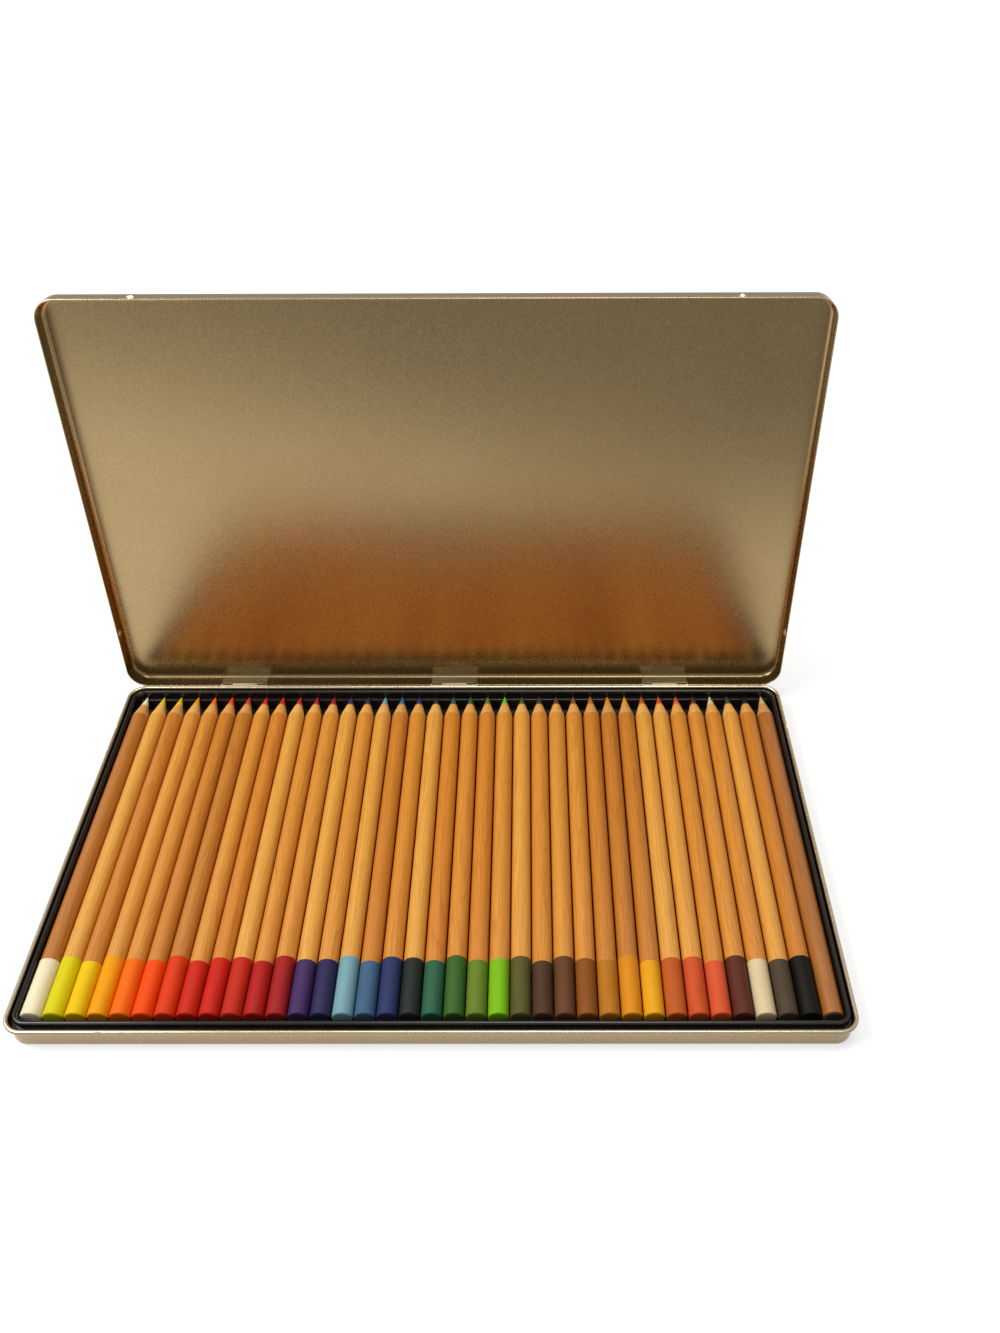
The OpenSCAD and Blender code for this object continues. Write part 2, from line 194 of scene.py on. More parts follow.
# Colour of each pencil's coat and core, and how far its wood leans from straw to chestnut
pencil_colours = {
    "white": ((234, 222, 186), 0.85),
    "lemon": ((212, 198, 12), 0.05),
    "canary": ((232, 188, 8), 0.60),
    "deep_yellow": ((234, 152, 10), 0.25),
    "light_orange": ((240, 104, 10), 0.35),
    "bright_orange": ((242, 76, 10), 0.60),
    "vermilion": ((214, 58, 18), 0.70),
    "scarlet": ((196, 40, 20), 0.30),
    "light_red": ((196, 36, 22), 0.50),
    "rose_red": ((190, 44, 26), 0.05),
    "carmine": ((172, 30, 24), 0.35),
    "crimson": ((158, 32, 32), 0.30),
    "violet": ((68, 44, 92), 0.05),
    "blue_violet": ((46, 42, 80), 0.30),
    "sky_blue": ((118, 160, 168), 0.10),
    "mid_blue": ((66, 96, 126), 0.60),
    "deep_blue": ((44, 54, 96), 0.40),
    "night_green": ((36, 42, 40), 0.05),
    "viridian": ((46, 94, 68), 0.50),
    "leaf_green": ((58, 96, 38), 0.40),
    "moss_green": ((100, 124, 38), 0.50),
    "apple_green": ((122, 182, 20), 0.35),
    "olive": ((86, 82, 36), 0.10),
    "dark_brown": ((78, 52, 36), 0.40),
    "umber": ((98, 62, 36), 0.30),
    "raw_umber": ((136, 78, 28), 0.35),
    "ochre": ((180, 114, 28), 0.60),
    "gold_ochre": ((214, 136, 24), 0.70),
    "golden_yellow": ((226, 158, 25), 0.65),
    "terracotta": ((188, 90, 34), 0.05),
    "brick": ((200, 82, 38), 0.10),
    "salmon": ((212, 86, 48), 0.40),
    "maroon": ((92, 44, 30), 0.35),
    "silver_grey": ((216, 196, 154), 0.40),
    "dark_grey": ((76, 64, 46), 0.10),
    "black": ((20, 17, 13), 0.60),
}
bare_pencil = ((58, 54, 44), 1.0)
bare_core = (204, 180, 116)


class Graph:
    """Short calls that add nodes to one tree."""

    def __init__(self, tree):
        self.tree = tree

    def feed(self, socket, value):
        if isinstance(value, bpy.types.NodeSocket):
            self.tree.links.new(value, socket)
        else:
            socket.default_value = value

    def add(self, kind, inputs=None, **settings):
        node = self.tree.nodes.new(kind)
        for name, value in settings.items():
            setattr(node, name, value)
        for name, value in (inputs or {}).items():
            self.feed(node.inputs[name], value)
        return node

    def math(self, operation, *values):
        node = self.add("ShaderNodeMath", operation=operation)
        for socket, value in zip(node.inputs, values):
            self.feed(socket, value)
        return node.outputs[0]

    def vector(self, operation, *values, result="Vector"):
        node = self.add("ShaderNodeVectorMath", operation=operation)
        for socket, value in zip(node.inputs, values):
            self.feed(socket, value)
        return node.outputs[result]

    def split(self, vector):
        """A vector's three parts, found by their letters."""
        return self.add("ShaderNodeSeparateXYZ", {0: vector}).outputs


# Node trees that make the pencils and the tray's ribs


def new_tree(name, floats=(), whole=(), materials=()):
    """A Geometry Nodes tree with named inputs, its graph, and its input sockets by name."""
    tree = bpy.data.node_groups.new(name, "GeometryNodeTree")
    kinds = {"NodeSocketFloat": floats, "NodeSocketInt": whole, "NodeSocketMaterial": materials}
    for kind, names in kinds.items():
        for label in names:
            tree.interface.new_socket(label, in_out="INPUT", socket_type=kind)
    tree.interface.new_socket("Shape", in_out="OUTPUT", socket_type="NodeSocketGeometry")
    graph = Graph(tree)
    return tree, graph, graph.add("NodeGroupInput").outputs


def close_tree(graph, shape, material):
    """Ends a tree: real geometry with its material on it."""
    real = graph.add("GeometryNodeRealizeInstances", {0: shape})
    painted = graph.add("GeometryNodeSetMaterial", {"Geometry": real.outputs[0], "Material": material})
    graph.add("NodeGroupOutput", {0: painted.outputs[0]})


def grown(tree, values):
    """Runs a tree with these inputs and gives its result as a plain mesh."""
    holder = bpy.data.objects.new(tree.name, bpy.data.meshes.new(tree.name))
    bpy.context.scene.collection.objects.link(holder)
    modifier = holder.modifiers.new("shape", "NODES")
    modifier.node_group = tree
    for item in tree.interface.items_tree:
        if item.in_out == "INPUT" and item.name in values:
            modifier[item.identifier] = values[item.name]
    evaluated = holder.evaluated_get(bpy.context.evaluated_depsgraph_get())
    mesh = bpy.data.meshes.new_from_object(evaluated)
    bpy.data.objects.remove(holder)
    return mesh


def pick(graph, values):
    """The value that belongs to a point's number in the row of points."""
    number = graph.add("GeometryNodeInputIndex").outputs[0]
    switch = graph.add("GeometryNodeIndexSwitch", {0: number}, data_type="FLOAT")
    while len(switch.index_switch_items) < len(values):
        switch.index_switch_items.new()
    for socket, value in zip(list(switch.inputs)[1:], values):
        graph.feed(socket, value)
    return switch.outputs[0]


def turned(graph, sides, rings):
    """A round body on the Y axis through rings given by their distance and radius."""
    row = graph.add("GeometryNodeMeshLine", {"Count": len(rings), "Offset": (0, mm, 0)})
    places = graph.add("ShaderNodeCombineXYZ", {"Y": pick(graph, [ring[0] for ring in rings])})
    moved = graph.add("GeometryNodeSetPosition", {"Geometry": row.outputs[0], "Position": places.outputs[0]})
    line = graph.add("GeometryNodeMeshToCurve", {"Mesh": moved.outputs[0]})
    hoop = graph.add("GeometryNodeCurvePrimitiveCircle", {"Resolution": sides, "Radius": 1.0}, mode="RADIUS")
    body = graph.add("GeometryNodeCurveToMesh", {
        "Curve": line.outputs[0],
        "Profile Curve": hoop.outputs[0],
        "Scale": pick(graph, [ring[1] for ring in rings]),
        "Fill Caps": True,
    })
    return body.outputs[0]


def case_rings(graph, inputs, wood_end):
    """The wooden case: a straight barrel and its sharpened cone."""
    barrel, chamfer = inputs["Barrel radius"], 0.15 * mm
    return [
        (inputs["End coat"], graph.math("SUBTRACT", barrel, chamfer)),
        (graph.math("ADD", inputs["End coat"], chamfer), barrel),
        (graph.math("SUBTRACT", inputs["Length"], inputs["Cone length"]), barrel),
        (wood_end, inputs["Core radius"]),
    ]


def core_rings(graph, inputs, wood_end):
    """The core from just inside the wood to its blunt point."""
    core, point, length = inputs["Core radius"], inputs["Point radius"], inputs["Length"]
    inside, inner_share = 0.8 * mm, 0.97
    rings = [(graph.math("SUBTRACT", wood_end, inside), graph.math("MULTIPLY", core, inner_share)),
             (wood_end, core)]
    # Distance back from the tip and radius, both in point radii
    for back, share in ((2.4, 1.6), (0.8, 1.05), (0.25, 0.8), (0.0, 0.4)):
        rings.append((graph.math("MULTIPLY_ADD", point, -back, length),
                      graph.math("MULTIPLY", point, share)))
    return rings


def coat_rings(graph, inputs):
    """The dipped coat: a domed end, its rounded edge, and a bead of paint where the dip stops."""
    barrel, edge, dip = inputs["Barrel radius"], inputs["Edge"], inputs["Dip length"]
    coat_r = graph.math("ADD", barrel, inputs["Coat"])
    flat_r = graph.math("SUBTRACT", coat_r, edge)
    dome, dome_edge, edge_steps = 0.04 * mm, 0.08 * mm, 5
    rings = [(0.0, graph.math("MULTIPLY", flat_r, 0.35)), (dome, graph.math("MULTIPLY", flat_r, 0.8))]
    for step in range(edge_steps + 1):
        angle = math.pi / 2 * step / edge_steps
        along = graph.math("MULTIPLY_ADD", edge, 1 - math.cos(angle), dome_edge)
        rings.append((along, graph.math("MULTIPLY_ADD", edge, math.sin(angle), flat_r)))
    bead = graph.math("ADD", coat_r, graph.math("MULTIPLY", inputs["Coat"], 0.6))
    bead_start, bead_top, bead_end, tuck = 0.7 * mm, 0.3 * mm, 0.08 * mm, 0.05 * mm
    return rings + [
        (graph.math("SUBTRACT", dip, bead_start), coat_r),
        (graph.math("SUBTRACT", dip, bead_top), bead),
        (graph.math("SUBTRACT", dip, bead_end), coat_r),
        (dip, graph.math("SUBTRACT", barrel, tuck)),
    ]


def make_pencil_tree():
    """One of a pencil's three pieces: its wooden case, its core or its dipped coat."""
    tree, graph, inputs = new_tree(
        "pencil",
        floats=("Place across", "Butt", "Axis height", "Barrel radius", "Core radius", "Point radius",
                "Length", "Cone length", "Dip length", "Coat", "End coat", "Edge", "Tone"),
        whole=("Piece", "Number", "Sides"),
        materials=("Material",),
    )
    point = inputs["Point radius"]
    cone_rise = graph.math("SUBTRACT", inputs["Barrel radius"], point)
    slope = graph.math("DIVIDE", cone_rise, inputs["Cone length"])
    bare_core_length = graph.math("DIVIDE", graph.math("SUBTRACT", inputs["Core radius"], point), slope)
    wood_end = graph.math("SUBTRACT", inputs["Length"], bare_core_length)
    pieces = (case_rings(graph, inputs, wood_end), core_rings(graph, inputs, wood_end),
              coat_rings(graph, inputs))
    chosen = graph.add("GeometryNodeIndexSwitch", {0: inputs["Piece"]}, data_type="GEOMETRY")
    chosen.index_switch_items.new()
    for socket, rings in zip(list(chosen.inputs)[1:], pieces):
        graph.feed(socket, turned(graph, inputs["Sides"], rings))

    # Each pencil is cut from its own place in the wood: turned about its axis and shifted
    turn_seed, shift_seed = 7, 3
    most_shift = Vector((9 * mm, 400 * mm, 9 * mm))
    own = graph.add("GeometryNodeInputPosition").outputs[0]
    turn = graph.add("FunctionNodeRandomValue", {
        "Max": Vector((0, math.tau, 0)), "ID": inputs["Number"], "Seed": turn_seed},
        data_type="FLOAT_VECTOR")
    shift = graph.add("FunctionNodeRandomValue", {
        "Max": most_shift, "ID": inputs["Number"], "Seed": shift_seed}, data_type="FLOAT_VECTOR")
    rolled = graph.add("ShaderNodeVectorRotate", {
        "Vector": own, "Rotation": turn.outputs[0]}, rotation_type="EULER_XYZ")
    grain = graph.vector("ADD", rolled.outputs[0], shift.outputs[0])
    marked = graph.add("GeometryNodeStoreNamedAttribute", {
        "Geometry": chosen.outputs[0], "Name": "grain", "Value": grain}, data_type="FLOAT_VECTOR")
    toned = graph.add("GeometryNodeStoreNamedAttribute", {
        "Geometry": marked.outputs[0], "Name": "wood_tone", "Value": inputs["Tone"]}, data_type="FLOAT")
    place = graph.add("ShaderNodeCombineXYZ", {
        "X": inputs["Place across"], "Y": inputs["Butt"], "Z": inputs["Axis height"]})
    placed = graph.add("GeometryNodeTransform", {
        "Geometry": toned.outputs[0], "Translation": place.outputs[0]})
    close_tree(graph, placed.outputs[0], inputs["Material"])
    return tree


def make_rib_tree():
    """A cross rib with a half-round groove under every pencil."""
    tree, graph, inputs = new_tree(
        "grooved_rib",
        floats=("Length", "Width", "Middle", "Foot", "Top", "Pitch", "Groove radius", "Axis height", "Edge"),
        whole=("Columns", "Rows"),
        materials=("Material",),
    )
    # The block is drawn two metres high about the zero, so that a point's sign tells top from foot
    block_height, slack = 2.0, 0.01 * mm
    size = graph.add("ShaderNodeCombineXYZ", {
        "X": inputs["Length"], "Y": inputs["Width"], "Z": block_height})
    block = graph.add("GeometryNodeMeshCube", {
        "Size": size.outputs[0], "Vertices X": inputs["Columns"], "Vertices Y": inputs["Rows"],
        "Vertices Z": 2})
    place = graph.split(graph.add("GeometryNodeInputPosition").outputs[0])
    pitches = graph.math("DIVIDE", place["X"], inputs["Pitch"])
    off_axis = graph.math("MULTIPLY", graph.math("PINGPONG", pitches, 0.5), inputs["Pitch"])
    rise = graph.math("SUBTRACT", graph.math("POWER", inputs["Groove radius"], 2.0),
                      graph.math("POWER", off_axis, 2.0))
    depth = graph.math("SQRT", graph.math("MAXIMUM", rise, 0.0))
    groove = graph.math("SUBTRACT", inputs["Axis height"], depth)
    side = graph.math("SUBTRACT", graph.math("ABSOLUTE", place["Y"]),
                      graph.math("MULTIPLY", inputs["Width"], 0.5))
    edge_drop = graph.math("MULTIPLY", graph.math("GREATER_THAN", side, -slack), inputs["Edge"])
    top = graph.math("SUBTRACT", graph.math("MINIMUM", groove, inputs["Top"]), edge_drop)
    upper = graph.math("GREATER_THAN", place["Z"], 0.0)
    lower = graph.math("SUBTRACT", 1.0, upper)
    height = graph.math("ADD", graph.math("MULTIPLY", upper, top),
                        graph.math("MULTIPLY", lower, inputs["Foot"]))
    along = graph.math("ADD", place["Y"], inputs["Middle"])
    spot = graph.add("ShaderNodeCombineXYZ", {"X": place["X"], "Y": along, "Z": height})
    shaped = graph.add("GeometryNodeSetPosition", {
        "Geometry": block.outputs[0], "Position": spot.outputs[0]})
    close_tree(graph, shaped.outputs[0], inputs["Material"])
    return tree


# Sections, and the rounded rectangles that they are carried round

Station = namedtuple("Station", "foot out side along cut")


def arc(centre, r, start, end, steps):
    """Points on an arc about a centre, from one angle in degrees to another, both ends included."""
    angles = [math.radians(start + (end - start) * step / steps) for step in range(steps + 1)]
    return [(centre[0] + r * math.cos(angle), centre[1] + r * math.sin(angle)) for angle in angles]


def spaced(low, high, count):
    """Values spread evenly from low to high, both included."""
    return [low + (high - low) * step / (count - 1) for step in range(count)]


def stations_round(half_x, half_y, r, stops, middle_y=0.0, corner_steps=14):
    """Stations round a rectangle with round corners. stops gives each side's extra places, with a
    mark on those where the sheet is cut away."""
    stations = []
    for quarter, side in enumerate(("right", "rear", "left", "front")):
        angle = math.pi / 2 * quarter
        out = Vector((round(math.cos(angle)), round(math.sin(angle))))
        ahead = Vector((-out.y, out.x))
        across, reach = (half_x, half_y) if quarter % 2 == 0 else (half_y, half_x)
        way = ahead.x + ahead.y
        middle = Vector((0, middle_y))
        places = [(-(reach - r), False), (reach - r, False)]
        shift = middle_y if quarter % 2 == 0 else 0
        places += [(way * (at - shift), cut) for at, cut in stops.get(side, [])]
        for place, cut in sorted(places):
            foot = middle + out * across + ahead * place
            stations.append(Station(foot, out, side, way * place + shift, cut))
        centre = middle + out * (across - r) + ahead * (reach - r)
        for step in range(1, corner_steps):
            turn = angle + math.pi / 2 * step / corner_steps
            way_out = Vector((math.cos(turn), math.sin(turn)))
            stations.append(Station(centre + way_out * r, way_out, None, 0.0, False))
    return stations


def swept(section, stations, reshape=None):
    """Carries a section round the stations and closes its two ends with flat plates."""
    points, faces = [], []
    rows = len(section)
    for station in stations:
        for out, up in section:
            if reshape:
                out, up = reshape(station, out, up)
            foot = station.foot + station.out * out
            points.append((foot.x, foot.y, up))
    count = len(stations)
    for i in range(count):
        j = (i + 1) % count
        faces += [(i * rows + k, j * rows + k, j * rows + k + 1, i * rows + k + 1) for k in range(rows - 1)]
    faces.append([i * rows for i in range(count)])
    faces.append([i * rows + rows - 1 for i in reversed(range(count))])
    return points, faces


def mesh_of(name, *shells):
    """One mesh of closed shells, each given as points and faces, with its faces turned outwards."""
    same_point = 0.0002 * mm
    work = bmesh.new()
    for points, faces in shells:
        verts = [work.verts.new(point) for point in points]
        for face in faces:
            work.faces.new([verts[index] for index in face])
    bmesh.ops.remove_doubles(work, verts=work.verts, dist=same_point)
    bmesh.ops.recalc_face_normals(work, faces=work.faces)
    mesh = bpy.data.meshes.new(name)
    work.to_mesh(mesh)
    work.free()
    smooth(mesh)
    return mesh


def smooth(mesh, sharp=35):
    """Smooth shading, broken at edges sharper than this many degrees."""
    mesh.shade_smooth()
    mesh.set_sharp_from_angle(angle=math.radians(sharp))


def place_piece(name, mesh, material, body, slot, *nodes):
    """Puts a finished mesh in the scene, on its body and in place of its nodes."""
    if material:
        mesh.materials.clear()
        mesh.materials.append(material)
    piece = bpy.data.objects.new(name, mesh)
    bpy.context.scene.collection.objects.link(piece)
    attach(piece, body)
    if nodes:
        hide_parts(*nodes)


# Finishes


class Finish(Graph):
    """A material with a Principled shader, and short calls for what the finishes share."""

    def __init__(self, name, **sockets):
        self.material = bpy.data.materials.new(name)
        self.material.use_nodes = True
        super().__init__(self.material.node_tree)
        self.shader = self.tree.nodes["Principled BSDF"]
        for label, value in sockets.items():
            self.shader.inputs[label.replace("_", " ")].default_value = value
        self.place = self.add("ShaderNodeTexCoord").outputs["Object"]

    def set(self, label, value):
        self.feed(self.shader.inputs[label], value)

    def lengthwise(self, vector, across, along):
        """Scales a place in one way across the pencils and in another along them."""
        return self.vector("MULTIPLY", vector, (across, along, across))

    def noise(self, vector, scale=1.0, detail=2.0, roughness=0.5):
        node = self.add("ShaderNodeTexNoise", {
            "Vector": vector, "Scale": scale, "Detail": detail, "Roughness": roughness})
        return node.outputs["Fac"]

    def ramp(self, factor, *stops):
        node = self.add("ShaderNodeValToRGB", {0: factor})
        while len(node.color_ramp.elements) < len(stops):
            node.color_ramp.elements.new(0.5)
        for element, (position, colour) in zip(node.color_ramp.elements, stops):
            element.position = position
            element.color = colour if len(colour) == 4 else (*colour, 1)
        return node.outputs["Color"]

    def spread(self, factor, taken, given):
        """Turns the taken range of a factor into the given one."""
        node = self.add("ShaderNodeMapRange", {
            "Value": factor, "From Min": taken[0], "From Max": taken[1],
            "To Min": given[0], "To Max": given[1]})
        return node.outputs[0]

    def mix(self, factor, first, second):
        node = self.add("ShaderNodeMix", data_type="RGBA", blend_type="MIX")
        self.feed(node.inputs[0], factor)
        self.feed(node.inputs[6], first)
        self.feed(node.inputs[7], second)
        return node.outputs[2]

    def bump(self, height, strength, distance):
        node = self.add("ShaderNodeBump", {"Height": height, "Strength": strength, "Distance": distance})
        self.set("Normal", node.outputs[0])


def satin_tinplate(name, colour, roughness, painted_highlight, painted_shade=None):
    """Drawn tinplate with a fine speckled grain and a faint cloudiness. The last two arguments give
    where a bright highlight and where darker shade are painted into its colour."""
    # Colours that the painted shade and the painted highlight mix towards
    shade_metal, highlight_metal = tone(74, 62, 42), tone(244, 232, 206)
    finish = Finish(name, Metallic=1.0)
    cloud = finish.noise(finish.place, scale=22, detail=3)
    fine = finish.noise(finish.place, scale=2600, detail=1)
    speckle = finish.math("ADD", fine, finish.noise(finish.place, scale=900, detail=2))
    grain = finish.math("MULTIPLY", speckle, 0.5)
    dark_grain = finish.mix(0.15, colour, black)
    light_grain = finish.mix(0.07, colour, white)
    tint = finish.mix(finish.spread(grain, (0.36, 0.64), (0.1, 0.9)), dark_grain, light_grain)
    tint = finish.mix(finish.spread(cloud, (0.3, 0.7), (0.0, 0.25)), tint, colour)
    # Painted shade: darker metal where the shade function says
    if painted_shade:
        tint = finish.mix(painted_shade(finish), tint, shade_metal)
    # Painted highlight: brighter metal where the highlight function says
    finish.set("Base Color", finish.mix(painted_highlight(finish), tint, highlight_metal))
    rough = finish.math("ADD", finish.spread(grain, (0.3, 0.7), (-0.03, 0.03)),
                        finish.spread(cloud, (0.3, 0.7), (-0.02, 0.02)))
    finish.set("Roughness", finish.math("ADD", rough, roughness))
    finish.bump(grain, strength=0.12, distance=0.02 * mm)
    return finish.material


def rim_highlight(finish):
    """A highlight is painted along the top of the base's rolled rim."""
    up = finish.split(finish.place)["Z"]
    # Painted highlight: the colour turns brighter towards the top of the roll
    return finish.spread(up, (roll_z + 0.35 * roll_r, roll_z + 0.85 * roll_r), (0.0, 0.55))


def along_lid(finish, direction):
    """Distance from the hinge axis in a direction of the closed lid, which turns with the lid."""
    turned_way = Matrix.Rotation(lid_angle, 3, "X") @ Vector(direction)
    away = finish.vector("SUBTRACT", finish.place, hinge_place)
    return finish.vector("DOT_PRODUCT", away, turned_way, result="Value")


def hem_and_dimple_highlights(finish):
    """Highlights are painted on the edge of the lid's hem and on its snap dimples."""
    hem_up = lid_edge_z - hinge_place.z
    up = along_lid(finish, (0, 0, 1))
    # Painted highlight on the hem's edge, then on each dimple
    highlight_mask = finish.spread(up, (hem_up + 0.1 * mm, hem_up + 0.3 * mm), (0.35, 0.0))
    wall = {"right": wall_x, "left": -wall_x, "front": -wall_y}
    for side, along in dimple_centres:
        reach = wall[side] + math.copysign(lid_off - sheet, wall[side])
        shut = Vector((along, reach, 0)) if side == "front" else Vector((reach, along, 0))
        shut.z = lid_edge_z + dimple_up
        away = finish.vector("DISTANCE", finish.place, opened_lid @ shut, result="Value")
        spot = finish.spread(away, (0.7 * dimple_reach, 1.1 * dimple_reach), (0.7, 0.0))
        highlight_mask = finish.math("MAXIMUM", highlight_mask, spot)
    return highlight_mask


def lid_inner_shade(finish):
    """Shade is painted on the lid towards the fold at its rear wall, and on its side walls' inner faces."""
    # Painted shade near the rear fold, and on the side walls' inner faces
    rear = finish.spread(along_lid(finish, (0, 1, 0)), (-20 * mm, -4 * mm), (0.0, 0.5))
    aside = finish.math("ABSOLUTE", finish.split(finish.place)["X"])
    inner_face = wall_x + lid_off - sheet
    inside = finish.math("LESS_THAN", aside, inner_face + sheet / 2)
    side = finish.spread(aside, (inner_face - 0.6 * mm, inner_face - 0.2 * mm), (0.0, 0.35))
    return finish.math("MAXIMUM", rear, finish.math("MULTIPLY", side, inside))


def hinge_steel(name, colour, roughness):
    """Bright strip with the drawing marks of its rolling."""
    marks_scale = (60, 1500, 1500)
    finish = Finish(name, Metallic=1.0)
    lines = finish.noise(finish.vector("MULTIPLY", finish.place, marks_scale), detail=3)
    finish.set("Base Color", finish.mix(lines, colour, tone(250, 238, 214)))
    finish.set("Roughness", finish.spread(lines, (0.3, 0.7), (roughness - 0.05, roughness + 0.05)))
    finish.bump(lines, strength=0.1, distance=0.02 * mm)
    return finish.material


def tray_plastic():
    """Glossy black moulding with a slight orange peel and dust-dull patches."""
    finish = Finish("tray_plastic")
    patches = finish.noise(finish.place, scale=45, detail=4)
    finish.set("Base Color", finish.ramp(patches, (0.35, tone(22, 19, 16)), (0.7, tone(31, 27, 23))))
    finish.set("Roughness", finish.spread(patches, (0.3, 0.7), (0.14, 0.22)))
    finish.bump(finish.noise(finish.place, scale=900, detail=2), strength=0.08, distance=0.03 * mm)
    return finish.material


def cedar():
    """Pencil wood: growth rings, long fibres, short dark flecks and a red blush, lacquered on the
    barrel and raw where it is sharpened."""
    straw, amber, chestnut = tone(232, 174, 74), tone(214, 140, 42), tone(174, 110, 40)
    dark_straw, dark_amber, dark_chestnut = tone(196, 122, 40), tone(176, 92, 22), tone(136, 74, 24)
    blush_tone, fleck_tone, raw_tone = tone(206, 116, 54), tone(110, 56, 16), tone(232, 184, 104)
    finish = Finish("pencil_cedar", Coat_Roughness=0.22)

    # The place in the wood, in millimetres
    stored = finish.add("ShaderNodeAttribute", attribute_name="grain").outputs["Vector"]
    grain = finish.vector("MULTIPLY", stored, (1 / mm, 1 / mm, 1 / mm))
    lean = finish.add("ShaderNodeAttribute", attribute_name="wood_tone").outputs["Fac"]
    light = finish.ramp(lean, (0.0, straw), (0.5, amber), (1.0, chestnut))
    dark = finish.ramp(lean, (0.0, dark_straw), (0.5, dark_amber), (1.0, dark_chestnut))

    wander = finish.noise(finish.lengthwise(grain, across=0.09, along=0.012), detail=3)
    turns = finish.math("MULTIPLY", finish.split(grain)["X"], 0.85)
    ring = finish.math("FRACT", finish.math("MULTIPLY_ADD", wander, 9.0, turns))
    grey = (0.15, 0.15, 0.15)
    late = finish.ramp(ring, (0.0, black), (0.55, grey), (0.88, white), (1.0, black))
    fibre = finish.noise(finish.lengthwise(grain, across=5.0, along=0.09), detail=4, roughness=0.6)
    streak = finish.noise(finish.lengthwise(grain, across=1.3, along=0.02), detail=2)
    blush = finish.noise(finish.lengthwise(grain, across=0.7, along=0.012), detail=2)
    specks = finish.noise(finish.lengthwise(grain, across=7.0, along=0.55), detail=1)
    fleck = finish.spread(specks, (0.66, 0.74), (0.0, 1.0))
    wood = finish.mix(finish.math("MULTIPLY", late, 0.55), light, dark)
    wood = finish.mix(finish.spread(fibre, (0.35, 0.65), (0.0, 0.6)), wood, dark)
    wood = finish.mix(finish.spread(streak, (0.35, 0.7), (0.0, 0.35)), wood, light)
    wood = finish.mix(finish.spread(blush, (0.52, 0.72), (0.0, 0.28)), wood, blush_tone)
    wood = finish.mix(finish.math("MULTIPLY", fleck, 0.5), wood, fleck_tone)

    # The lacquer ends just behind the shoulder of the cone, in a slightly wavy line
    shoulder = butt_y + pencil_length - cone_length
    wave = finish.noise(finish.lengthwise(grain, across=0.5, along=0), detail=1)
    along = finish.split(finish.place)["Y"]
    behind = finish.math("SUBTRACT", along, finish.math("MULTIPLY", wave, 0.5 * mm))
    raw = finish.spread(behind, (shoulder - 0.35 * mm, shoulder - 0.15 * mm), (0, 1))
    finish.set("Base Color", finish.mix(finish.math("MULTIPLY", raw, 0.4), wood, raw_tone))
    finish.set("Roughness", finish.spread(raw, (0, 1), (0.42, 0.8)))
    finish.set("Coat Weight", finish.spread(raw, (0, 1), (0.35, 0.0)))
    height = finish.math("ADD", fibre, finish.math("MULTIPLY", late, 0.4))
    finish.bump(height, strength=0.18, distance=0.03 * mm)
    return finish.material


def dipped_paint(name, colour):
    """Satin paint that was dipped on, thinner and thicker in places."""
    finish = Finish(name, Specular_IOR_Level=0.14)
    pool = finish.noise(finish.lengthwise(finish.place, across=260, along=60), detail=3)
    paint = tone(*colour)
    thick = finish.mix(0.16, paint, black)
    finish.set("Base Color", finish.mix(finish.spread(pool, (0.35, 0.7), (0.0, 0.6)), paint, thick))
    finish.set("Roughness", finish.spread(pool, (0.3, 0.7), (0.44, 0.54)))
    finish.bump(finish.noise(finish.place, scale=700, detail=2), strength=0.06, distance=0.03 * mm)
    return finish.material


def pencil_core(name, colour):
    """Waxy core with the fine rings that a sharpener leaves."""
    finish = Finish(name)
    cuts = finish.noise(finish.lengthwise(finish.place, across=300, along=5200), detail=2)
    lead = tone(*colour)
    cut_tone = finish.mix(0.25, lead, black)
    finish.set("Base Color", finish.mix(finish.spread(cuts, (0.3, 0.7), (0.0, 0.3)), lead, cut_tone))
    finish.set("Roughness", finish.spread(cuts, (0.3, 0.7), (0.5, 0.65)))
    finish.bump(cuts, strength=0.25, distance=0.04 * mm)
    return finish.material


# The base, and the dimples and notches where the lid snaps on it


def dimple_push(station, up, centre_z):
    """How far a snap dimple pushes the lid's wall in at this place."""
    for side, along in dimple_centres:
        if station.side == side:
            away = math.hypot(station.along - along, up - centre_z)
            if away < dimple_reach:
                return math.sqrt(ball_r ** 2 - away ** 2) - ball_r + dimple_depth
    return 0.0


def dimple_stops(reach, count):
    """Extra stations across each dimple."""
    stops = {}
    for side, along in dimple_centres:
        places = [(at, False) for at in spaced(along - reach, along + reach, count)]
        stops.setdefault(side, []).extend(places)
    return stops


def notch_rim(station, out, up):
    """Cuts the relief notches into the rolled rim, where the lid's dimples snap past."""
    for side, along in dimple_centres:
        if station.side == side and abs(station.along - along) < notch_r:
            limit = notch_centre - math.sqrt(notch_r ** 2 - (station.along - along) ** 2)
            out = min(out, limit)
    return out, up


def make_base(material):
    """Floor, wall and rolled rim."""
    roll_centre = (roll_r - sheet, roll_z)
    meet = 180 - math.degrees(math.acos((roll_r - sheet) / roll_r))
    bend = (-floor_bend_r, floor_bend_r)
    plate_edge = -floor_bend_r - floor_margin
    section = [(plate_edge, sheet)]
    section += arc(bend, floor_bend_r - sheet, -90, 0, steps=6)
    section += arc(roll_centre, roll_r, 180, -meet, steps=22)
    section += arc(bend, floor_bend_r, 0, -90, steps=6)
    section += [(plate_edge, 0)]
    stops = dimple_stops(notch_reach, notch_columns)
    stations = stations_round(wall_x, wall_y, wall_corner_r, stops)
    mesh = mesh_of("base_pan", swept(section, stations, notch_rim))
    place_piece("base_pan", mesh, material, "root", slot_of["base_tin"], "base_tin")


# The lid


